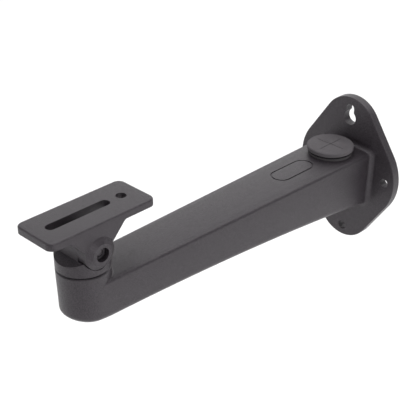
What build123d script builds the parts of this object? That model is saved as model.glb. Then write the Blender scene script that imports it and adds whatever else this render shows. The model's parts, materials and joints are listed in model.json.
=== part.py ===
from build123d import *

import os
from math import acos, asin, atan2, cos, hypot, radians, sin, sqrt, tan

# Wall bracket for a camera, in millimetres.
# The origin is the centre of the wall plate's back face, on the wall.
# +Y goes into the wall, so the arm reaches out along -Y. +X is to the right, +Z up.

# Wall plate: a diamond with four round lobes, a keyhole above and three fixing holes
wall_plate_thickness = 7.8
wall_plate_edge_chamfer = 0.4
wall_end_lobe_radius = 27.5
wall_side_lobe_radius = 43.5
fixing_hole_diameter = 8.0
side_hole_spacing = 82.6
side_hole_margin = 10.2
bottom_hole_drop = 58.4
bottom_hole_margin = 9.4
keyhole_head_diameter = 13.0
keyhole_slot_width = 8.0
keyhole_length = 12.7
keyhole_margin = 6.2

# Arm: tapered, cored from the wall side, with a crowned top
reach = 305.0
arm_top_height = 25.1
arm_head_depth = 33.8
arm_wall_depth = 52.5
arm_wall_width = 53.4
arm_draft = 1.5
arm_edge_round = 2.5
arm_bottom_round = 6.4
arm_crown_radius = 220.0
arm_wall_thickness = 4.0
arm_core_end_gap = 40.0
core_corner_chamfer = 2.0
wall_joint_round = 4.5
capsule_from_wall_plate = 74.5
capsule_length = 43.6
capsule_width = 17.2
capsule_line_width = 1.2
capsule_line_depth = 0.8

# Swivel boss at the end of the arm
boss_diameter = 40.0
boss_rise = 6.9
nose_arc_run = 12.0
nose_arc_radius = 112.0
boss_rim_chamfer = 0.8
boss_floor = 10.0

# Pan joint: M8 cap screw up through the boss, with washers
pan_screw_diameter = 8.0
pan_head_diameter = 13.0
pan_head_height = 8.0
pan_socket_width = 6.0
pan_socket_depth = 4.0
pan_hole_clearance = 0.3
pan_counterbore_diameter = 17.0
pan_washer_diameter = 16.0
pan_washer_thickness = 1.6
pan_washer_clearance = 0.2
pan_spring_washer_diameter = 14.1
pan_spring_washer_thickness = 2.2
pan_friction_washer_diameter = 30.0
pan_friction_washer_thickness = 1.3
pan_tap_end_gap = 1.1
thread_clearance = 0.05

# Swivel base: a puck with a roof-shaped top and a knuckle
puck_diameter = 40.0
puck_rim_height = 7.7
puck_roof_angle = 24.0
puck_groove_web = 4.0
puck_tap_web = 2.7
knuckle_radius = 12.1
groove_clearance = 0.6

# Tilt joint: M6 cap screw across the knuckle into a round nut
tilt_screw_diameter = 6.0
tilt_head_diameter = 10.0
tilt_head_height = 6.0
tilt_socket_width = 5.0
tilt_socket_depth = 3.0
tilt_hole_clearance = 0.3
tilt_tip_rise = 0.2
tilt_counterbore_diameter = 10.8
tilt_counterbore_web = 3.0
tilt_spring_washer_diameter = 9.9
tilt_spring_washer_thickness = 1.6
tilt_washer_clearance = 0.15
tilt_friction_washer_diameter = 22.0
tilt_friction_washer_thickness = 0.5
tilt_nut_diameter = 10.4
tilt_nut_thickness = 5.0
nut_edge_chamfer = 0.4
spring_washer_split = 0.8
thread_tip_chamfer = 0.8
head_edge_chamfer = 0.5

# Rib in the near counterbore that keeps the round nut from turning
key_radius = 3.1
key_offset_y = -4.0
key_offset_z = 4.9
key_clearance = 0.2
key_setback = 0.3
key_root = 0.5

# Camera plate with its two ears
plate_width = 40.0
plate_length = 93.2
plate_thickness = 5.5
plate_offset = 6.2
plate_corner_radius = 6.0
plate_edge_round = 1.3
camera_slot_width = 8.0
camera_hole_diameter = 8.0
camera_hole_margin = 15.6
camera_slot_to_hole = 15.2
slot_land_width = 15.0
slot_land_height = 1.5
ear_thickness = 8.9
ear_radius = 12.4
ear_neck = 5.0
ear_waist_width = 15.2
ear_foot_width = 47.6
ear_foot_round = 4.0
ear_cone_height = 3.1
ear_cone_face_radius = 8.3

# Cable grommet on top of the arm
grommet_from_wall_plate = 24.7
grommet_cap_diameter = 40.0
grommet_cap_thickness = 3.5
grommet_cap_rise = 7.2
grommet_cap_chamfer = 0.7
grommet_seat_diameter = 38.0
grommet_seat_thickness = 1.8
grommet_hole_diameter = 34.0
grommet_hole_clearance = 0.15
grommet_wall_clearance = 0.05
grommet_flange_diameter = 37.6
grommet_flange_thickness = 2.0
grommet_inner_diameter = 29.2
grommet_membrane_thickness = 1.8
grommet_cut_length = 28.6
grommet_cut_width = 0.5

# Places worked out from the sizes above
wall_plate_width = side_hole_spacing + 2 * side_hole_margin
wall_plate_height = 2 * (bottom_hole_drop + bottom_hole_margin)
wall_plate_front = -wall_plate_thickness
keyhole_slot_height = wall_plate_height / 2 - keyhole_margin - keyhole_slot_width / 2
keyhole_head_height = wall_plate_height / 2 - keyhole_margin - keyhole_length
boss_radius = boss_diameter / 2
boss_top_height = arm_top_height + boss_rise
boss_bottom_height = arm_top_height - arm_head_depth
belly_wall_height = arm_top_height - arm_wall_depth
pan_axis = Axis((0, -reach, 0), (0, 0, 1))
puck_bottom_height = boss_top_height + pan_friction_washer_thickness
groove_radius = ear_radius + groove_clearance
tilt_axis_height = puck_bottom_height + puck_groove_web + groove_radius
tilt_hole_radius = tilt_screw_diameter / 2 + tilt_hole_clearance
tilt_axis = Axis((0, -reach, tilt_axis_height), (1, 0, 0))
ear_outer = plate_width / 2
ear_inner = ear_outer - ear_thickness
ear_face = ear_outer + ear_cone_height
counterbore_floor = ear_inner + tilt_counterbore_web
knuckle_width = 2 * (ear_inner - tilt_friction_washer_thickness)
plate_bottom_height = tilt_axis_height + ear_radius + ear_neck
plate_centre = -reach + plate_offset
grommet_centre = wall_plate_front - grommet_from_wall_plate
cut_overrun = 1.0


def crown_outline(lift):
    """Arm section seen along its length: open below, with the crowned top raised by lift."""
    half_span = arm_wall_width
    crown_edge = arm_top_height + lift - arm_crown_radius + sqrt(arm_crown_radius**2 - half_span**2)
    with BuildSketch(Plane.XZ) as section:
        with BuildLine():
            ThreePointArc((-half_span, crown_edge), (0, arm_top_height + lift), (half_span, crown_edge))
            Polyline(
                (half_span, crown_edge),
                (half_span, -wall_plate_height / 2),
                (-half_span, -wall_plate_height / 2),
                (-half_span, crown_edge),
            )
        make_face()
    return section.sketch


# Belly of the arm: one long arc down to the wall, and a short one that rises to the nose
belly_level = -reach - boss_radius
belly_run = wall_plate_front - belly_level
belly_drop = boss_bottom_height - belly_wall_height
belly_radius = (belly_run**2 + belly_drop**2) / (2 * belly_drop)
nose_arc_start = -reach + nose_arc_run
nose_turn = asin((nose_arc_start - belly_level) / belly_radius)
nose_arc_y = belly_level + (belly_radius + nose_arc_radius) * sin(nose_turn)
nose_arc_z = boss_bottom_height - belly_radius + (belly_radius + nose_arc_radius) * cos(nose_turn)


def belly_height(y, lift):
    """Height of the belly at y, for the outside or for the core, lift above it."""
    if y < nose_arc_start:
        return nose_arc_z - sqrt((nose_arc_radius - lift) ** 2 - (y - nose_arc_y) ** 2)
    return boss_bottom_height - belly_radius + sqrt((belly_radius + lift) ** 2 - (y - belly_level) ** 2)


def side_outline(front, top, lift):
    """Side view between the belly and a level line at top, from front to the wall."""
    arc_start = max(front, nose_arc_start)
    with BuildSketch(Plane.YZ) as profile:
        with BuildLine():
            if front < nose_arc_start:
                ThreePointArc(
                    (front, belly_height(front, lift)),
                    ((front + arc_start) / 2, belly_height((front + arc_start) / 2, lift)),
                    (arc_start, belly_height(arc_start, lift)),
                )
            ThreePointArc(
                (arc_start, belly_height(arc_start, lift)),
                (arc_start / 2, belly_height(arc_start / 2, lift)),
                (0, belly_height(0, lift)),
            )
            Polyline(
                (0, belly_height(0, lift)),
                (0, top),
                (front, top),
                (front, belly_height(front, lift)),
            )
        make_face()
    return profile.sketch


# Plan outline of the arm: straight sides, tangent to the round boss
tangent_span = hypot(arm_wall_width / 2, reach + wall_plate_front)
tangent_turn = atan2(reach + wall_plate_front, arm_wall_width / 2) - acos(boss_radius / tangent_span)
tangent_x = boss_radius * cos(tangent_turn)
tangent_y = -reach + boss_radius * sin(tangent_turn)
side_slope = (arm_wall_width / 2 - tangent_x) / (wall_plate_front - tangent_y)


def arm_half_width(y):
    """Half the arm's width at y, at the height of the boss rim."""
    return tangent_x + side_slope * (y - tangent_y)


# Arm body: drafted like a casting, then cut to its side view and crown
arm_root = -wall_plate_thickness / 4
with BuildPart() as arm_body:
    with BuildSketch(Plane.XY.offset(boss_top_height)):
        with BuildLine():
            ThreePointArc((tangent_x, tangent_y), (0, -reach - boss_radius), (-tangent_x, tangent_y))
            Polyline(
                (-tangent_x, tangent_y),
                (-arm_half_width(arm_root), arm_root),
                (arm_half_width(arm_root), arm_root),
                (tangent_x, tangent_y),
            )
        make_face()
    extrude(amount=belly_height(0, 0) - boss_top_height - cut_overrun)
    walls = arm_body.faces().filter_by(
        lambda f: abs(f.normal_at().Z) < 0.1 and f.center().Y < arm_root - cut_overrun
    )
    draft(walls, Plane.XY.offset(boss_top_height), -arm_draft)
    extrude(
        side_outline(-reach - boss_diameter, boss_top_height, 0),
        amount=wall_plate_width,
        both=True,
        mode=Mode.INTERSECT,
    )
    extrude(crown_outline(0), amount=reach + boss_diameter, mode=Mode.INTERSECT)
    top_face = arm_body.faces().sort_by(Axis.Z)[-1]
    fillet(top_face.edges().filter_by(lambda e: e.center().Y < arm_root - cut_overrun), arm_edge_round)
    low_faces = arm_body.faces().filter_by(lambda f: f.normal_at().Z < -0.9)
    low_rim = low_faces.edges().filter_by(
        lambda e: e.center().Y < arm_root - cut_overrun and abs(e.center().X) > cut_overrun
    )
    low_nose = low_faces.edges().filter_by(lambda e: e.center().Y < -reach)
    fillet(low_rim + low_nose, arm_bottom_round)

# Hollow of the arm, cored from the wall side with the same draft
core_end = -reach + arm_core_end_gap
core_top = arm_top_height - arm_wall_thickness
with BuildPart() as arm_core:
    with BuildSketch(Plane.XY.offset(core_top)):
        with BuildLine():
            Polyline(
                (arm_half_width(core_end) - arm_wall_thickness, core_end),
                (arm_wall_thickness - arm_half_width(core_end), core_end),
                (arm_wall_thickness - arm_half_width(0), 0),
                (arm_half_width(0) - arm_wall_thickness, 0),
                close=True,
            )
        make_face()
    extrude(amount=belly_height(0, 0) - core_top)
    core_walls = arm_core.faces().filter_by(lambda f: abs(f.normal_at().X) > 0.9)
    draft(core_walls, Plane.XY.offset(boss_top_height), -arm_draft)
    extrude(
        side_outline(core_end, core_top, arm_wall_thickness),
        amount=wall_plate_width,
        both=True,
        mode=Mode.INTERSECT,
    )
    core_ridges = arm_core.edges().filter_by(lambda e: e.bounding_box().size.Y > -core_end / 2)
    chamfer(core_ridges, core_corner_chamfer)

# Arm casting: wall plate, hollow arm and swivel boss in one piece
with BuildPart() as arm_casting:
    with BuildSketch(Plane.XZ):
        with BuildLine():
            for side in (-1, 1):
                end_lobe_centre = (0, side * (wall_plate_height / 2 - wall_end_lobe_radius))
                side_lobe_centre = (side * (wall_plate_width / 2 - wall_side_lobe_radius), 0)
                CenterArc(end_lobe_centre, wall_end_lobe_radius, 0, 360)
                CenterArc(side_lobe_centre, wall_side_lobe_radius, 0, 360)
        make_hull()
    extrude(amount=wall_plate_thickness)
    chamfer(arm_casting.faces().sort_by(Axis.Y)[0].edges(), wall_plate_edge_chamfer)
    add(arm_body.part)
    joint_edges = arm_casting.edges().filter_by(
        lambda e: abs(e.center().Y - wall_plate_front) < 0.1
        and e.bounding_box().size.Y < 0.1
        and abs(e.center().X) < arm_wall_width / 2 + cut_overrun
        and belly_wall_height - cut_overrun < e.center().Z < arm_top_height + cut_overrun
    )
    fillet(joint_edges, wall_joint_round)
    # neck of the boss, which stands above the arm
    neck_bottom_height = arm_top_height - 3 * arm_edge_round
    neck_radius = boss_radius - (boss_top_height - neck_bottom_height) * tan(radians(arm_draft))
    with BuildSketch(Plane.XZ.offset(reach)):
        with BuildLine():
            Polyline(
                (0, neck_bottom_height),
                (neck_radius, neck_bottom_height),
                (boss_radius, boss_top_height),
                (0, boss_top_height),
                close=True,
            )
        make_face()
    revolve(axis=pan_axis)
    chamfer(arm_casting.faces().filter_by(Axis.Z).sort_by(Axis.Z)[-1].edges(), boss_rim_chamfer)
    add(arm_core.part, mode=Mode.SUBTRACT)
    # fixing holes and keyhole
    with BuildSketch(Plane.XZ):
        with Locations((-side_hole_spacing / 2, 0), (side_hole_spacing / 2, 0), (0, -bottom_hole_drop)):
            Circle(fixing_hole_diameter / 2)
        with Locations((0, keyhole_head_height)):
            Circle(keyhole_head_diameter / 2)
        with Locations((0, keyhole_slot_height)):
            Circle(keyhole_slot_width / 2)
        keyhole_neck = keyhole_slot_height - keyhole_head_height
        with Locations((0, keyhole_head_height + keyhole_neck / 2)):
            Rectangle(keyhole_slot_width, keyhole_neck)
    extrude(amount=wall_plate_thickness, mode=Mode.SUBTRACT)
    # cable hole under the grommet
    with BuildSketch(Plane.XY.offset(core_top - cut_overrun)):
        with Locations((0, grommet_centre)):
            Circle(grommet_hole_diameter / 2)
    extrude(amount=arm_wall_thickness + 2 * cut_overrun, mode=Mode.SUBTRACT)
    # bare capsule outline on top of the arm
    with BuildSketch(Plane.XY.offset(arm_top_height - capsule_line_depth)):
        with Locations(Location((0, wall_plate_front - capsule_from_wall_plate, 0), 90)):
            SlotOverall(capsule_length + capsule_line_width, capsule_width + capsule_line_width)
            SlotOverall(
                capsule_length - capsule_line_width,
                capsule_width - capsule_line_width,
                mode=Mode.SUBTRACT,
            )
    extrude(amount=cut_overrun, mode=Mode.SUBTRACT)
    # pan screw's clearance hole and the counterbore below it
    with BuildSketch(Plane.XY.offset(boss_top_height)):
        with Locations((0, -reach)):
            Circle(pan_screw_diameter / 2 + pan_hole_clearance)
    extrude(amount=-boss_floor, mode=Mode.SUBTRACT)
    with BuildSketch(Plane.XY.offset(boss_top_height - boss_floor)):
        with Locations((0, -reach)):
            Circle(pan_counterbore_diameter / 2)
    extrude(amount=boss_bottom_height - boss_top_height, mode=Mode.SUBTRACT)
arm_casting.part.label = "arm_casting"

# Swivel base: puck with a roof top, grooves that the ears turn in, and the knuckle between them
with BuildPart() as swivel_base:
    puck_rim = puck_bottom_height + puck_rim_height
    roof_rise = puck_diameter / 2 * tan(radians(puck_roof_angle))
    with BuildSketch(Plane.XY.offset(puck_bottom_height)):
        with Locations((0, -reach)):
            Circle(puck_diameter / 2)
    extrude(amount=puck_rim_height + roof_rise)
    with BuildSketch(Plane.YZ):
        with BuildLine():
            Polyline(
                (-reach - puck_diameter / 2, puck_bottom_height),
                (-reach + puck_diameter / 2, puck_bottom_height),
                (-reach + puck_diameter / 2, puck_rim),
                (-reach, puck_rim + roof_rise),
                (-reach - puck_diameter / 2, puck_rim),
                close=True,
            )
        make_face()
    extrude(amount=puck_diameter, both=True, mode=Mode.INTERSECT)
    for side in (-1, 1):
        with BuildSketch(Plane.YZ.offset(side * knuckle_width / 2)):
            with Locations((-reach, tilt_axis_height)):
                Circle(groove_radius)
        extrude(amount=side * puck_diameter, mode=Mode.SUBTRACT)
    with BuildSketch(Plane.YZ):
        with Locations((-reach, tilt_axis_height)):
            Circle(knuckle_radius)
        knuckle_foot = tilt_axis_height - puck_bottom_height
        with Locations((-reach, tilt_axis_height - knuckle_foot / 2)):
            Rectangle(2 * knuckle_radius, knuckle_foot)
    extrude(amount=knuckle_width / 2, both=True)
    with BuildSketch(Plane.YZ):
        with Locations((-reach, tilt_axis_height)):
            Circle(tilt_hole_radius)
    extrude(amount=knuckle_width, both=True, mode=Mode.SUBTRACT)
    # tapped hole for the pan screw
    tap_depth = tilt_axis_height - tilt_hole_radius - puck_tap_web - puck_bottom_height
    with BuildSketch(Plane.XY.offset(puck_bottom_height)):
        with Locations((0, -reach)):
            Circle(pan_screw_diameter / 2 + thread_clearance)
    extrude(amount=tap_depth, mode=Mode.SUBTRACT)
swivel_base.part.label = "swivel_base"

# Camera plate: slotted plate with two ears that straddle the knuckle
with BuildPart() as camera_plate:
    with BuildSketch(Plane.XY.offset(plate_bottom_height)):
        with Locations((0, plate_centre)):
            RectangleRounded(plate_width, plate_length, plate_corner_radius)
    extrude(amount=plate_thickness)
    fillet(camera_plate.faces().sort_by(Axis.Z)[-1].edges(), plate_edge_round)
    for side in (-1, 1):
        with BuildSketch(Plane.YZ.offset(side * ear_inner)):
            with BuildLine():
                Polyline(
                    (-reach - ear_foot_width / 2, plate_bottom_height),
                    (-reach - ear_waist_width / 2, tilt_axis_height),
                    (-reach + ear_waist_width / 2, tilt_axis_height),
                    (-reach + ear_foot_width / 2, plate_bottom_height),
                    close=True,
                )
            make_face()
            with Locations((-reach, tilt_axis_height)):
                Circle(ear_radius)
        extrude(amount=side * ear_thickness)
    ear_feet = camera_plate.edges().filter_by(Axis.X).filter_by(
        lambda e: abs(e.center().Z - plate_bottom_height) < 0.1
        and abs(abs(e.center().Y + reach) - ear_foot_width / 2) < 0.1
    )
    fillet(ear_feet, ear_foot_round)
    # cone on the outside of each ear
    with BuildSketch(Plane.XY.offset(tilt_axis_height)):
        with BuildLine():
            Polyline(
                (ear_outer, -reach),
                (ear_outer, -reach - ear_radius),
                (ear_face, -reach - ear_cone_face_radius),
                (ear_face, -reach),
                close=True,
            )
        make_face()
        mirror(about=Plane.YZ)
    revolve(axis=tilt_axis)
    # land under the plate, slot and hole for the camera's foot
    slot_front = plate_centre - plate_length / 2 + camera_hole_margin
    hole_centre = plate_centre + plate_length / 2 - camera_hole_margin
    slot_back = hole_centre - camera_slot_to_hole
    slot_middle = Location((0, (slot_front + slot_back) / 2, 0), 90)
    with BuildSketch(Plane.XY.offset(plate_bottom_height)):
        with Locations(slot_middle):
            SlotCenterToCenter(slot_back - slot_front, slot_land_width)
    extrude(amount=-slot_land_height)
    with BuildSketch(Plane.XY.offset(plate_bottom_height + plate_thickness)):
        with Locations(slot_middle):
            SlotCenterToCenter(slot_back - slot_front, camera_slot_width)
    extrude(amount=-plate_thickness - slot_land_height, mode=Mode.SUBTRACT)
    with BuildSketch(Plane.XY.offset(plate_bottom_height)):
        with Locations((0, hole_centre)):
            Circle(camera_hole_diameter / 2)
    extrude(amount=plate_thickness, mode=Mode.SUBTRACT)
    # tilt screw's hole and the counterbore in each ear
    with BuildSketch(Plane.YZ):
        with Locations((-reach, tilt_axis_height)):
            Circle(tilt_hole_radius)
    extrude(amount=ear_face, both=True, mode=Mode.SUBTRACT)
    for side in (-1, 1):
        with BuildSketch(Plane.YZ.offset(side * counterbore_floor)):
            with Locations((-reach, tilt_axis_height)):
                Circle(tilt_counterbore_diameter / 2)
        extrude(amount=side * ear_face, mode=Mode.SUBTRACT)
    # rib that keys the nut, on the near side only
    with BuildSketch(Plane.YZ.offset(counterbore_floor)):
        with Locations((-reach + key_offset_y, tilt_axis_height + key_offset_z)):
            Circle(key_radius)
        with Locations((-reach, tilt_axis_height)):
            Circle(tilt_counterbore_diameter / 2 + key_root, mode=Mode.INTERSECT)
    extrude(amount=ear_face - key_setback - counterbore_floor)
camera_plate.part.label = "camera_plate"

# Cable grommet: rubber plug with a cross-cut cap, a seat on the crown and a flange below the wall
cap_top_height = arm_top_height + grommet_cap_rise
cap_bottom_height = cap_top_height - grommet_cap_thickness
flange_top_height = core_top - grommet_wall_clearance
flange_bottom_height = flange_top_height - grommet_flange_thickness
grommet_neck_radius = grommet_hole_diameter / 2 - grommet_hole_clearance
with BuildPart() as cable_grommet:
    with BuildSketch(Plane.XY.offset(arm_top_height - grommet_seat_thickness)):
        with Locations((0, grommet_centre)):
            Circle(grommet_seat_diameter / 2)
    extrude(amount=2 * grommet_seat_thickness)
    extrude(crown_outline(grommet_wall_clearance), amount=reach, mode=Mode.SUBTRACT)
    with BuildSketch(Plane.XZ.offset(-grommet_centre)):
        with BuildLine():
            Polyline(
                (0, flange_bottom_height),
                (grommet_flange_diameter / 2, flange_bottom_height),
                (grommet_flange_diameter / 2, flange_top_height),
                (grommet_neck_radius, flange_top_height),
                (grommet_neck_radius, cap_bottom_height),
                (grommet_cap_diameter / 2, cap_bottom_height),
                (grommet_cap_diameter / 2, cap_top_height),
                (0, cap_top_height),
                close=True,
            )
        make_face()
    revolve(axis=Axis((0, grommet_centre, 0), (0, 0, 1)))
    chamfer(cable_grommet.faces().sort_by(Axis.Z)[-1].edges(), grommet_cap_chamfer)
    with BuildSketch(Plane.XY.offset(flange_bottom_height)):
        with Locations((0, grommet_centre)):
            Circle(grommet_inner_diameter / 2)
    extrude(
        amount=cap_top_height - grommet_membrane_thickness - flange_bottom_height,
        mode=Mode.SUBTRACT,
    )
    # the two cuts that cross in the cap
    with BuildSketch(Plane.XY.offset(cap_top_height)):
        with Locations((0, grommet_centre)):
            Rectangle(grommet_cut_length, grommet_cut_width)
            Rectangle(grommet_cut_width, grommet_cut_length)
    extrude(amount=-grommet_membrane_thickness, mode=Mode.SUBTRACT)
cable_grommet.part.label = "cable_grommet"


def ring(seat, centre, outer_diameter, bore_diameter, thickness, split=0):
    """Flat ring on the plane of its seat, with a gap as wide as split in a spring washer."""
    with BuildPart() as washer:
        with BuildSketch(seat):
            with Locations(centre):
                Circle(outer_diameter / 2)
                Circle(bore_diameter / 2, mode=Mode.SUBTRACT)
                if split > 0:
                    Rectangle(outer_diameter, split, align=(Align.MIN, Align.CENTER), mode=Mode.SUBTRACT)
        extrude(amount=thickness)
    return washer


def cap_screw(seat, centre, diameter, length, head_diameter, head_height, socket_width, socket_depth):
    """Socket cap screw whose head stands on the seat and whose shank goes down through it."""
    with BuildPart() as screw:
        with BuildSketch(seat):
            with Locations(centre):
                Circle(head_diameter / 2)
        extrude(amount=head_height)
        chamfer(screw.edges().filter_by(GeomType.CIRCLE), head_edge_chamfer)
        with BuildSketch(seat):
            with Locations(centre):
                Circle(diameter / 2)
        extrude(amount=-length)
        tip_edge = screw.edges().filter_by(GeomType.CIRCLE).sort_by(Axis(seat.origin, seat.z_dir))[0]
        chamfer(tip_edge, thread_tip_chamfer)
        with BuildSketch(seat.offset(head_height)):
            with Locations(centre):
                RegularPolygon(socket_width / 2, 6, major_radius=False)
        extrude(amount=-socket_depth, mode=Mode.SUBTRACT)
    return screw


# Pan hardware, below the boss floor and between the boss and the puck
pan_seat = Plane(origin=(0, 0, boss_top_height - boss_floor), x_dir=(1, 0, 0), z_dir=(0, 0, -1))
pan_washer = ring(
    pan_seat,
    (0, reach),
    pan_washer_diameter,
    pan_screw_diameter + 2 * pan_washer_clearance,
    pan_washer_thickness,
)
pan_washer.part.label = "pan_washer"
pan_spring_washer = ring(
    pan_seat.offset(pan_washer_thickness),
    (0, reach),
    pan_spring_washer_diameter,
    pan_screw_diameter + 2 * pan_washer_clearance,
    pan_spring_washer_thickness,
    spring_washer_split,
)
pan_spring_washer.part.label = "pan_spring_washer"
pan_washer_stack = pan_washer_thickness + pan_spring_washer_thickness
pan_screw = cap_screw(
    pan_seat.offset(pan_washer_stack),
    (0, reach),
    pan_screw_diameter,
    pan_washer_stack + boss_floor + pan_friction_washer_thickness + tap_depth - pan_tap_end_gap,
    pan_head_diameter,
    pan_head_height,
    pan_socket_width,
    pan_socket_depth,
)
pan_screw.part.label = "pan_screw"
pan_friction_washer = ring(
    Plane.XY.offset(boss_top_height),
    (0, -reach),
    pan_friction_washer_diameter,
    pan_screw_diameter + 2 * pan_hole_clearance,
    pan_friction_washer_thickness,
)
pan_friction_washer.part.label = "pan_friction_washer"

# Tilt hardware: the screw comes from the far ear, the round nut sits in the near one
far_seat = Plane(origin=(-counterbore_floor, 0, 0), x_dir=(0, 1, 0), z_dir=(-1, 0, 0))
far_centre = (-reach, -tilt_axis_height)
tilt_spring_washer = ring(
    far_seat,
    far_centre,
    tilt_spring_washer_diameter,
    tilt_screw_diameter + 2 * tilt_washer_clearance,
    tilt_spring_washer_thickness,
    spring_washer_split,
)
tilt_spring_washer.part.label = "tilt_spring_washer"
tilt_screw = cap_screw(
    far_seat.offset(tilt_spring_washer_thickness),
    far_centre,
    tilt_screw_diameter,
    tilt_spring_washer_thickness + 2 * counterbore_floor + tilt_nut_thickness + tilt_tip_rise,
    tilt_head_diameter,
    tilt_head_height,
    tilt_socket_width,
    tilt_socket_depth,
)
tilt_screw.part.label = "tilt_screw"
with BuildPart() as tilt_nut:
    with BuildSketch(Plane.YZ.offset(counterbore_floor)):
        with Locations((-reach, tilt_axis_height)):
            Circle(tilt_nut_diameter / 2)
    extrude(amount=tilt_nut_thickness)
    chamfer(tilt_nut.faces().sort_by(Axis.X)[-1].edges(), nut_edge_chamfer)
    with BuildSketch(Plane.YZ.offset(counterbore_floor)):
        with Locations((-reach, tilt_axis_height)):
            Circle(tilt_screw_diameter / 2 + thread_clearance)
        with Locations((-reach + key_offset_y, tilt_axis_height + key_offset_z)):
            Circle(key_radius + key_clearance)
    extrude(amount=tilt_nut_thickness, mode=Mode.SUBTRACT)
tilt_nut.part.label = "tilt_nut"
tilt_friction_washer_near = ring(
    Plane.YZ.offset(knuckle_width / 2),
    (-reach, tilt_axis_height),
    tilt_friction_washer_diameter,
    2 * tilt_hole_radius,
    tilt_friction_washer_thickness,
)
tilt_friction_washer_near.part.label = "tilt_friction_washer_near"
tilt_friction_washer_far = ring(
    Plane.YZ.offset(-ear_inner),
    (-reach, tilt_axis_height),
    tilt_friction_washer_diameter,
    2 * tilt_hole_radius,
    tilt_friction_washer_thickness,
)
tilt_friction_washer_far.part.label = "tilt_friction_washer_far"

# One file for each piece
os.makedirs("parts", exist_ok=True)
export_step(arm_casting.part, "parts/arm_casting.step")
export_step(cable_grommet.part, "parts/cable_grommet.step")
export_step(pan_friction_washer.part, "parts/pan_friction_washer.step")
export_step(swivel_base.part, "parts/swivel_base.step")
export_step(pan_screw.part, "parts/pan_screw.step")
export_step(pan_spring_washer.part, "parts/pan_spring_washer.step")
export_step(pan_washer.part, "parts/pan_washer.step")
export_step(camera_plate.part, "parts/camera_plate.step")
export_step(tilt_screw.part, "parts/tilt_screw.step")
export_step(tilt_spring_washer.part, "parts/tilt_spring_washer.step")
export_step(tilt_nut.part, "parts/tilt_nut.step")
export_step(tilt_friction_washer_near.part, "parts/tilt_friction_washer_near.step")
export_step(tilt_friction_washer_far.part, "parts/tilt_friction_washer_far.step")
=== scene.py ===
import json
from math import cos, pi, radians, sin, sqrt

import bmesh
import bpy
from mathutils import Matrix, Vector


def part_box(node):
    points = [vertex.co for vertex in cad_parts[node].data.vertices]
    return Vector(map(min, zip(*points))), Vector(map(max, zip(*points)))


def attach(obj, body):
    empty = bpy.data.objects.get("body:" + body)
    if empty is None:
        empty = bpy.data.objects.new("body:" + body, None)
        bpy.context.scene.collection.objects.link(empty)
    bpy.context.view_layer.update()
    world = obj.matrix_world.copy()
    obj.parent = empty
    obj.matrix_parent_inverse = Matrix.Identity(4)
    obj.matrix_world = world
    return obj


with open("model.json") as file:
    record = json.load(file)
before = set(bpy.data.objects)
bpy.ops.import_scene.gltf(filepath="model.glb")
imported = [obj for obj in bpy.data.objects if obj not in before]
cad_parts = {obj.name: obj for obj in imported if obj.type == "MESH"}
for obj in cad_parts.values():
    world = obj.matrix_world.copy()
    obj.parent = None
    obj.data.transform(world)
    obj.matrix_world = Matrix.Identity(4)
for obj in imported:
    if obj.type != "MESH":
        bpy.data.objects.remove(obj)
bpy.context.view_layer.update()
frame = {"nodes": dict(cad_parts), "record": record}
nodes = frame["nodes"]
scene = bpy.context.scene

# Camera: the photo's place, direction and lens, measured from the bracket's own edges
PICTURE_WIDTH = 416  # pixels, and as high as it is wide
SENSOR_WIDTH = 36  # mm
FOCAL = 1058.88  # pixels
AZIMUTH, ELEVATION = radians(45.065), radians(29.5485)
CAMERA_DEPTH = 0.72673  # to the centre of the camera plate's top, along the view
PLATE_TOP_AT = (86.709, 210.756)  # that centre's pixel

back = Vector(
    (sin(AZIMUTH) * cos(ELEVATION), -cos(AZIMUTH) * cos(ELEVATION), sin(ELEVATION))
)
right = Vector((cos(AZIMUTH), sin(AZIMUTH), 0))
up = back.cross(right)
plate_top = Vector((0, -0.2988, 0.0732))
across, down = ((at - PICTURE_WIDTH / 2) / FOCAL for at in PLATE_TOP_AT)
ray = right * across - up * down - back

camera_data = bpy.data.cameras.new("camera")
camera_data.sensor_width = SENSOR_WIDTH
camera_data.lens = FOCAL * SENSOR_WIDTH / PICTURE_WIDTH
camera_data.clip_start, camera_data.clip_end = 0.01, 20
camera = bpy.data.objects.new("camera", camera_data)
camera.location = plate_top - ray * CAMERA_DEPTH
camera.rotation_mode = "QUATERNION"
camera.rotation_quaternion = (-back).to_track_quat("-Z", "Y")
scene.collection.objects.link(camera)
scene.camera = camera


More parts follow.
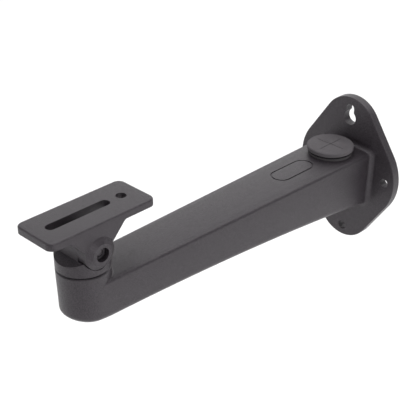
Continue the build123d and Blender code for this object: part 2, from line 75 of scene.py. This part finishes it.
# Materials
class Tree:
    """A material's nodes, with short calls for the ones that are used here."""

    def __init__(self, name, **sockets):
        self.material = bpy.data.materials.new(name)
        self.material.use_nodes = True
        self.nodes = self.material.node_tree.nodes
        self.links = self.material.node_tree.links
        self.shader = self.nodes["Principled BSDF"]
        for key, value in sockets.items():
            self.shader.inputs[key.replace("_", " ")].default_value = value
        self.place = self.nodes.new("ShaderNodeTexCoord").outputs["Object"]

    def noise(self, scale, detail=2.0, rough=0.5):
        """Noise with about this many grains to the metre."""
        n = self.nodes.new("ShaderNodeTexNoise")
        n.inputs["Scale"].default_value = scale
        n.inputs["Detail"].default_value = detail
        n.inputs["Roughness"].default_value = rough
        self.links.new(self.place, n.inputs["Vector"])
        return n.outputs["Fac"]

    def ramp(self, fac, low, high):
        """From one grey level or colour to another, each given with its place."""
        n = self.nodes.new("ShaderNodeValToRGB")
        for e, (at, value) in zip(n.color_ramp.elements, (low, high)):
            e.position = at
            e.color = (*value, 1) if isinstance(value, tuple) else (value,) * 3 + (1,)
        self.links.new(fac, n.inputs["Fac"])
        return n.outputs["Color"]

    def mix(self, fac, a, b):
        n = self.nodes.new("ShaderNodeMix")
        n.data_type = "RGBA"
        factor, colour_a, colour_b = n.inputs[0], n.inputs[6], n.inputs[7]
        self.links.new(fac, factor)
        for value, socket in ((a, colour_a), (b, colour_b)):
            if isinstance(value, bpy.types.NodeSocket):
                self.links.new(value, socket)
            else:
                socket.default_value = (*value, 1)
        return n.outputs[2]

    def step(self, axis, value, width):
        """0 below the value along an axis of the part, 1 above it."""
        split = self.nodes.new("ShaderNodeSeparateXYZ")
        self.links.new(self.place, split.inputs["Vector"])
        n = self.nodes.new("ShaderNodeMapRange")
        n.inputs["From Min"].default_value = value - width
        n.inputs["From Max"].default_value = value
        self.links.new(split.outputs[axis], n.inputs["Value"])
        return n.outputs["Result"]

    def bump(self, height, distance, strength, under=None):
        """A bump, on top of the one under it where there is one."""
        n = self.nodes.new("ShaderNodeBump")
        n.inputs["Distance"].default_value = distance
        n.inputs["Strength"].default_value = strength
        self.links.new(height, n.inputs["Height"])
        if under:
            self.links.new(under, n.inputs["Normal"])
        return n.outputs["Normal"]

    def put(self, socket, value):
        self.links.new(value, self.shader.inputs[socket])


def powder_coat():
    """Charcoal powder coat on a casting: fine orange peel, faint clouds, fine lighter grain."""
    t = Tree("coated_casting", Specular_IOR_Level=0.5, Specular_Tint=(1.0, 0.95, 1.0, 1))
    clouds = t.ramp(
        t.noise(38, 3, 0.55),
        (0.30, (0.0120, 0.0098, 0.0120)),
        (0.70, (0.0138, 0.0114, 0.0138)),
    )
    grain = t.ramp(t.noise(1500, 1), (0.42, 0.0), (0.58, 1.0))
    t.put("Base Color", t.mix(grain, clouds, (0.0330, 0.0276, 0.0330)))
    t.put("Roughness", t.ramp(t.noise(420, 3, 0.6), (0.3, 0.36), (0.7, 0.44)))
    peel = t.bump(t.noise(620), 0.00008, 0.4)
    t.put("Normal", t.bump(t.noise(1700, 1), 0.0002, 1.0, peel))
    return t.material


def moulded_rubber():
    """Matt charcoal rubber with a fine spark-eroded grain and faint dusty clouds on the cap;
    the neck and seat under the cap are painted darker, painted shade under the cap.
    """
    t = Tree("grommet_rubber", Specular_IOR_Level=0.3)
    dust = t.ramp(
        t.noise(90, 4, 0.6),
        (0.35, (0.084, 0.077, 0.083)),
        (0.75, (0.100, 0.092, 0.099)),
    )
    cap_thickness, cap_edge = 0.0035, 0.0004
    cap_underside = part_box("cable_grommet")[1].z - cap_thickness
    # Below the cap's underside the rubber takes a much darker colour: painted shade on the neck
    # and seat under the cap.
    cap_vs_painted_shade = t.step("Z", cap_underside, cap_edge)
    t.put("Base Color", t.mix(cap_vs_painted_shade, (0.050, 0.046, 0.049), dust))
    t.put("Roughness", t.ramp(t.noise(600), (0.3, 0.68), (0.7, 0.82)))
    t.put("Normal", t.bump(t.noise(3200, 2, 0.7), 0.00004, 0.6))
    return t.material


def plated_steel():
    """Black zinc plating on steel: dark, with a satin metal sheen."""
    t = Tree("plated_steel", Metallic=0.45)
    plating = t.ramp(
        t.noise(160, 3),
        (0.3, (0.040, 0.035, 0.040)),
        (0.7, (0.056, 0.049, 0.055)),
    )
    t.put("Base Color", plating)
    t.put("Roughness", t.ramp(t.noise(900), (0.3, 0.48), (0.7, 0.62)))
    t.put("Normal", t.bump(t.noise(2600, 2, 0.6), 0.00003, 0.5))
    return t.material


def sheet_plastic():
    """Black plastic washer sheet, slightly waxy."""
    t = Tree("friction_plastic", Specular_IOR_Level=0.4)
    t.put("Base Color", t.ramp(t.noise(200), (0.3, 0.026), (0.7, 0.036)))
    t.put("Roughness", t.ramp(t.noise(700), (0.3, 0.42), (0.7, 0.55)))
    t.put("Normal", t.bump(t.noise(1800), 0.00003, 0.5))
    return t.material


finishes = {
    "coated_casting": powder_coat(),
    "grommet_rubber": moulded_rubber(),
    "plated_steel": plated_steel(),
    "friction_plastic": sheet_plastic(),
}
for part in frame["record"]["subparts"]:
    mesh = nodes[part["node"]].data
    mesh.materials.clear()
    mesh.materials.append(finishes[part["material_slot"]])


def boss_cove():
    """The cove where the boss's neck meets the top of the arm, cast in one with both."""
    joints = frame["record"]["behaviour"]["joints"]
    centre_y = next(j for j in joints if j["name"] == "pan")["pos_m"][1]
    neck_radius, cove_radius, least_radius = 0.0198, 0.0016, 0.0001
    arm_top, crown_radius = 0.0251, 0.220
    # half the width of the arm's top between its edge rounds, beside the boss and its growth
    top_half_width, top_growth = 0.0173, 0.00045
    first, last, steps, arc_steps = 28, 152, 64, 8  # degrees round the boss, and divisions
    sink = 0.0004  # how far the piece reaches into the neck and the arm

    bm = bmesh.new()
    sections = []
    for i in range(steps + 1):
        turn = radians(first + (last - first) * i / steps)
        top_edge = (top_half_width + top_growth * sin(turn)) / max(abs(cos(turn)), 0.01)
        cove = min(max(top_edge - neck_radius, least_radius), cove_radius)
        foot = neck_radius + cove
        foot_height = arm_top - crown_radius + sqrt(crown_radius**2 - (foot * cos(turn)) ** 2)
        line = [
            (neck_radius - sink, foot_height - sink),
            (neck_radius - sink, foot_height + cove),
        ]
        for k in range(arc_steps + 1):
            a = pi + pi / 2 * k / arc_steps
            line.append((foot + cove * cos(a), foot_height + cove + cove * sin(a)))
        line.append((foot, foot_height - sink))
        sections.append(
            [bm.verts.new((r * cos(turn), centre_y + r * sin(turn), z)) for r, z in line]
        )
    for a, b in zip(sections, sections[1:]):
        for k in range(len(a)):
            m = (k + 1) % len(a)
            bm.faces.new((a[k], a[m], b[m], b[k]))
    bm.faces.new(sections[0][::-1])
    bm.faces.new(sections[-1])
    bmesh.ops.recalc_face_normals(bm, faces=bm.faces)
    mesh = bpy.data.meshes.new("boss_cove")
    bm.to_mesh(mesh)
    bm.free()
    mesh.materials.append(finishes["coated_casting"])
    piece = bpy.data.objects.new("boss_cove", mesh)
    scene.collection.objects.link(piece)
    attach(piece, "arm")
    return piece


def smooth_group():
    """Joined facets, smooth across shallow edges and sharp across steep ones."""
    join_distance, steep = 2e-6, radians(27)
    group = bpy.data.node_groups.new("join_and_smooth", "GeometryNodeTree")
    for way in ("INPUT", "OUTPUT"):
        group.interface.new_socket(
            "Geometry", in_out=way, socket_type="NodeSocketGeometry"
        )
    add, link = group.nodes.new, group.links.new
    start, end = add("NodeGroupInput"), add("NodeGroupOutput")
    merge = add("GeometryNodeMergeByDistance")
    merge.inputs["Distance"].default_value = join_distance
    angle = add("GeometryNodeInputMeshEdgeAngle")
    shallow = add("FunctionNodeCompare")
    shallow.data_type, shallow.operation = "FLOAT", "LESS_THAN"
    shallow.inputs[1].default_value = steep
    faces = add("GeometryNodeSetShadeSmooth")
    faces.domain = "FACE"
    faces.inputs["Shade Smooth"].default_value = True
    edges = add("GeometryNodeSetShadeSmooth")
    edges.domain = "EDGE"
    link(start.outputs[0], merge.inputs["Geometry"])
    link(merge.outputs["Geometry"], faces.inputs["Geometry"])
    link(faces.outputs["Geometry"], edges.inputs["Geometry"])
    link(angle.outputs["Unsigned Angle"], shallow.inputs[0])
    link(shallow.outputs[0], edges.inputs["Shade Smooth"])
    link(edges.outputs["Geometry"], end.inputs[0])
    return group


cove_piece = boss_cove()
smoothing = smooth_group()
for o in [*nodes.values(), cove_piece]:
    o.modifiers.new("join_and_smooth", "NODES").node_group = smoothing

# Floor: plain and pale
FLOOR_HALF_WIDTH, FLOOR_HEIGHT = 14, -0.42
floor_mesh = bpy.data.meshes.new("floor")
bm = bmesh.new()
bmesh.ops.create_grid(bm, x_segments=1, y_segments=1, size=FLOOR_HALF_WIDTH)
bm.to_mesh(floor_mesh)
bm.free()
floor = bpy.data.objects.new("floor", floor_mesh)
floor.location = (0, 0, FLOOR_HEIGHT)
scene.collection.objects.link(floor)
pale = Tree("pale_floor", Roughness=0.9)
pale.put("Base Color", pale.ramp(pale.noise(1.5), (0.3, 0.95), (0.7, 0.97)))
floor_mesh.materials.append(pale.material)

# Soft studio light: name, energy, size and place of each lamp, all aimed at the arm
LIT_POINT = Vector((0, -0.16, 0.02))
lamps = [
    ("top", 42, 2.6, (0.0, -0.1, 2.4)),
    ("back_left", 8.0, 2.0, (-1.6, 1.4, 0.7)),
    ("right_front_low", 15, 0.9, (2.2, -0.5, 0.2)),
    ("right_back_low", 1.0, 0.8, (1.25, 1.0, -0.05)),
    ("front_left", 6.0, 1.4, (-1.6, -2.0, 0.4)),
    ("back", 14, 1.8, (0.2, 2.0, 1.5)),
]
for name, energy, size, place in lamps:
    data = bpy.data.lights.new(name, "AREA")
    data.energy, data.size = energy, size
    lamp = bpy.data.objects.new(name, data)
    lamp.location = place
    lamp.rotation_mode = "QUATERNION"
    aim = LIT_POINT - Vector(place)
    lamp.rotation_quaternion = aim.to_track_quat("-Z", "Y")
    scene.collection.objects.link(lamp)

# Surroundings: even, with soft patches that are lighter or darker. Each patch has its
# direction, the cosine where it starts, the cosine where it is full, and its strength.
# The two darkest give the dark lines along the rounded edges.
WORLD_STRENGTH = 0.64
patches = [
    ((-0.707, -0.707, 0.0), 0.2, 0.9, 0.14),
    ((-0.707, 0.707, 0.0), 0.2, 0.9, 0.05),
    ((0.49, 0.61, 0.62), 0.80, 0.97, -0.58),
    ((-0.61, -0.49, 0.62), 0.80, 0.97, -0.58),
    ((0.70, -0.70, 0.10), 0.80, 0.97, -0.35),
]
scene.view_settings.view_transform = "Standard"
world = bpy.data.worlds.new("studio")
scene.world = world
world.use_nodes = True
sky, join = world.node_tree.nodes, world.node_tree.links.new
sky["Background"].inputs["Color"].default_value = (1, 1, 1, 1)
outward = sky.new("ShaderNodeTexCoord").outputs["Generated"]
total = sky.new("ShaderNodeValue").outputs[0]
total.default_value = WORLD_STRENGTH
for direction, start, full, strength in patches:
    along = sky.new("ShaderNodeVectorMath")
    along.operation = "DOT_PRODUCT"
    along.inputs[1].default_value = direction
    patch = sky.new("ShaderNodeMapRange")
    patch.interpolation_type = "SMOOTHSTEP"
    patch.inputs["From Min"].default_value = start
    patch.inputs["From Max"].default_value = full
    patch.inputs["To Max"].default_value = strength
    add = sky.new("ShaderNodeMath")
    join(outward, along.inputs[0])
    join(along.outputs["Value"], patch.inputs["Value"])
    join(total, add.inputs[0])
    join(patch.outputs["Result"], add.inputs[1])
    total = add.outputs[0]
join(total, sky["Background"].inputs["Strength"])
